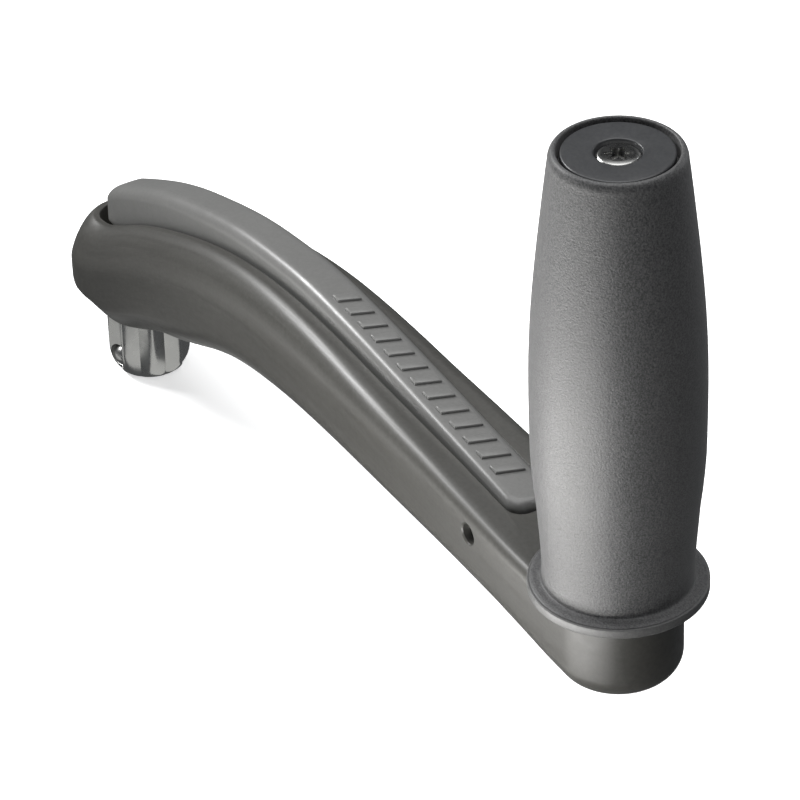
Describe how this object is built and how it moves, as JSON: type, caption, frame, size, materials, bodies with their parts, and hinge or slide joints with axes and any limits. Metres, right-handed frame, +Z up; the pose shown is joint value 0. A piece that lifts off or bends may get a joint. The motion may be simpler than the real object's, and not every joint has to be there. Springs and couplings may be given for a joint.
{
  "type": "winch handle",
  "caption": "Hand crank for a sailing winch: star drive with ball lock, arm with a full-length release lever, and a freely turning upright grip.",
  "frame": {"origin": "centre of the drive spigot's tip face, on the drive axis", "axes": "+Z up along the drive axis from the spigot's tip, +X along the arm towards the grip, +Y to the left when looking from the drive to the grip"},
  "size_m": [0.3038, 0.0446, 0.201],
  "materials": {
    "arm_alloy": "satin",
    "spigot_steel": "polished",
    "steel_small": "brushed",
    "lever_plastic": "satin",
    "bronze": "satin",
    "bearing_plastic": "matte",
    "core_plastic": "satin",
    "grip_rubber": "fine grained",
    "cap_plastic": "satin"
  },
  "bodies": {
    "arm": {"arm_body": "arm_alloy", "drive_spigot": "spigot_steel", "spigot_dowel": "steel_small", "plunger_spring": "steel_small", "lever_pivot_pin": "steel_small", "grip_spindle": "steel_small", "spindle_bolt": "steel_small", "spindle_washer": "steel_small", "lower_thrust_washer": "bearing_plastic", "upper_thrust_washer": "bearing_plastic", "end_cap": "cap_plastic", "cap_screw": "steel_small"},
    "lever": {"lever": "lever_plastic", "lever_pad": "steel_small", "lever_bush": "bronze"},
    "plunger": {"lock_plunger": "steel_small", "plunger_cap": "steel_small"},
    "ball_left": {"lock_ball_left": "spigot_steel"},
    "ball_right": {"lock_ball_right": "spigot_steel"},
    "grip": {"grip_core": "core_plastic", "grip_cover": "grip_rubber", "lower_bush": "bearing_plastic", "upper_bush": "bearing_plastic"}
  },
  "joints": [
    {"name": "grip_spin", "type": "hinge", "parent": "arm", "child": "grip", "pos_m": [0.254, 0, 0.14], "axis": [0, 0, 1], "continuous": true},
    {"name": "lever_squeeze", "type": "hinge", "parent": "arm", "child": "lever", "pos_m": [0.209, 0, 0.071], "axis": [0, -1, 0], "range_deg": [0, 0.95], "stiffness_Nm_per_rad": 60, "springref_deg": -1.15},
    {"name": "plunger_press", "type": "slide", "parent": "arm", "child": "plunger", "axis": [0, 0, -1], "range_m": [0, 0.0035], "deforming": ["plunger_spring"]},
    {"name": "ball_left_slide", "type": "slide", "parent": "arm", "child": "ball_left", "axis": [0, 1, 0], "range_m": [0, 0.00165]},
    {"name": "ball_right_slide", "type": "slide", "parent": "arm", "child": "ball_right", "axis": [0, -1, 0], "range_m": [0, 0.00165]}
  ],
  "couplings": [
    {"joint": "plunger_press", "follows": "lever_squeeze", "m_per_rad": 0.209},
    {"joint": "ball_left_slide", "follows": "lever_squeeze", "m_per_rad": 0.0985},
    {"joint": "ball_right_slide", "follows": "lever_squeeze", "m_per_rad": 0.0985}
  ]
}
